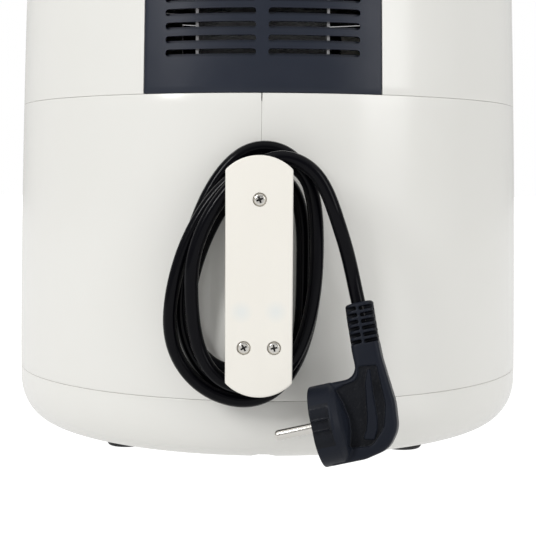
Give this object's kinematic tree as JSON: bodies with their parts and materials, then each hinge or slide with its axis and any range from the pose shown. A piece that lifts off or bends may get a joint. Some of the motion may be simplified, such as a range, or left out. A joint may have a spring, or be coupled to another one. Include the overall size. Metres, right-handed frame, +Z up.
{
  "type": "hot-air fryer",
  "caption": "Round glossy white countertop hot-air fryer with a pull-out pan, black rear vent and its black mains cord wound on a rear bracket.",
  "frame": {"origin": "centre of the underside of the fryer's bounding box without cord and plug, on the surface its feet stand on", "axes": "+Z up, +Y to the back with the cord bracket, -Y to the front with the drawer, +X to the right seen from the front"},
  "size_m": [0.2968, 0.3993, 0.325],
  "materials": {
    "glossy_white": "high-gloss moulded, cream white",
    "warm_white": "satin gloss, slightly warmer white",
    "black_plastic": "satin black with fine spark texture",
    "dark_gloss": "piano black",
    "grey_plastic": "satin grey",
    "lamp_lens": "clear red lens",
    "sheet_steel": "aluminised sheet",
    "heater_steel": "heat-darkened tube",
    "bright_steel": "nickel plated",
    "ceramic": "unglazed",
    "black_rubber": "matt",
    "cord_sheath": "smooth soft PVC with a satin sheen",
    "non_stick": "satin non-stick coating",
    "aluminium": "stamped",
    "brass": "machined"
  },
  "bodies": {
    "body": {"base_pan": "glossy_white", "housing_left": "glossy_white", "housing_right": "glossy_white", "upper_housing": "glossy_white", "top_cover": "glossy_white", "vent_grille": "black_plastic", "control_panel": "dark_gloss", "power_lamp_lens": "lamp_lens", "heating_lamp_lens": "lamp_lens", "timer_unit": "sheet_steel", "thermostat_unit": "sheet_steel", "chamber_liner": "sheet_steel", "drawer_sill": "grey_plastic", "upper_deck": "sheet_steel", "heater_tub": "sheet_steel", "heater_element": "heater_steel", "heater_guard": "sheet_steel", "motor_body": "sheet_steel", "motor_bracket": "sheet_steel", "thermal_fuse": "ceramic", "outlet_duct": "sheet_steel", "drawer_switch": "grey_plastic", "terminal_block": "ceramic", "foot_1": "black_rubber", "foot_2": "black_rubber", "foot_3": "black_rubber", "foot_4": "black_rubber", "base_screw_1": "bright_steel", "base_screw_2": "bright_steel", "base_screw_3": "bright_steel", "base_screw_4": "bright_steel", "cord_hub": "glossy_white", "cord_plate": "warm_white", "plate_screw_1": "bright_steel", "plate_screw_2": "bright_steel", "plate_screw_3": "bright_steel", "cord_gland": "black_rubber", "cord_winding": "cord_sheath", "cord_tail": "cord_sheath", "plug_body": "black_plastic", "plug_pin_1": "bright_steel", "plug_pin_2": "bright_steel"},
    "drawer": {"drawer_front": "glossy_white", "pan": "non_stick", "pan_bracket": "black_plastic", "handle": "glossy_white", "handle_insert": "grey_plastic", "handle_screw_upper": "bright_steel", "handle_screw_lower": "bright_steel"},
    "crisper": {"crisper_plate": "non_stick", "plate_bumper_1": "black_rubber", "plate_bumper_2": "black_rubber", "plate_bumper_3": "black_rubber", "plate_bumper_4": "black_rubber"},
    "timer_dial": {"timer_knob": "grey_plastic"},
    "temperature_dial": {"temperature_knob": "grey_plastic"},
    "rotor": {"motor_shaft": "bright_steel", "hot_air_fan": "aluminium", "cooling_fan": "aluminium", "fan_nut": "brass"}
  },
  "joints": [
    {"name": "drawer_slide", "type": "slide", "parent": "body", "child": "drawer", "axis": [0, -1, 0], "range_m": [0, 0.2]},
    {"name": "crisper_lift", "type": "slide", "parent": "drawer", "child": "crisper", "axis": [0, 0, 1], "range_m": [0, 0.1]},
    {"name": "timer_turn", "type": "hinge", "parent": "body", "child": "timer_dial", "pos_m": [-0.03361, -0.12619, 0.226], "axis": [0.2334, 0.9724, 0], "range_deg": [0, 300]},
    {"name": "temperature_turn", "type": "hinge", "parent": "body", "child": "temperature_dial", "pos_m": [0.03361, -0.12619, 0.226], "axis": [-0.2334, 0.9724, 0], "range_deg": [0, 270]},
    {"name": "fan_spin", "type": "hinge", "parent": "body", "child": "rotor", "pos_m": [0, 0.0058, 0.23], "axis": [0, 0, 1], "continuous": true}
  ]
}
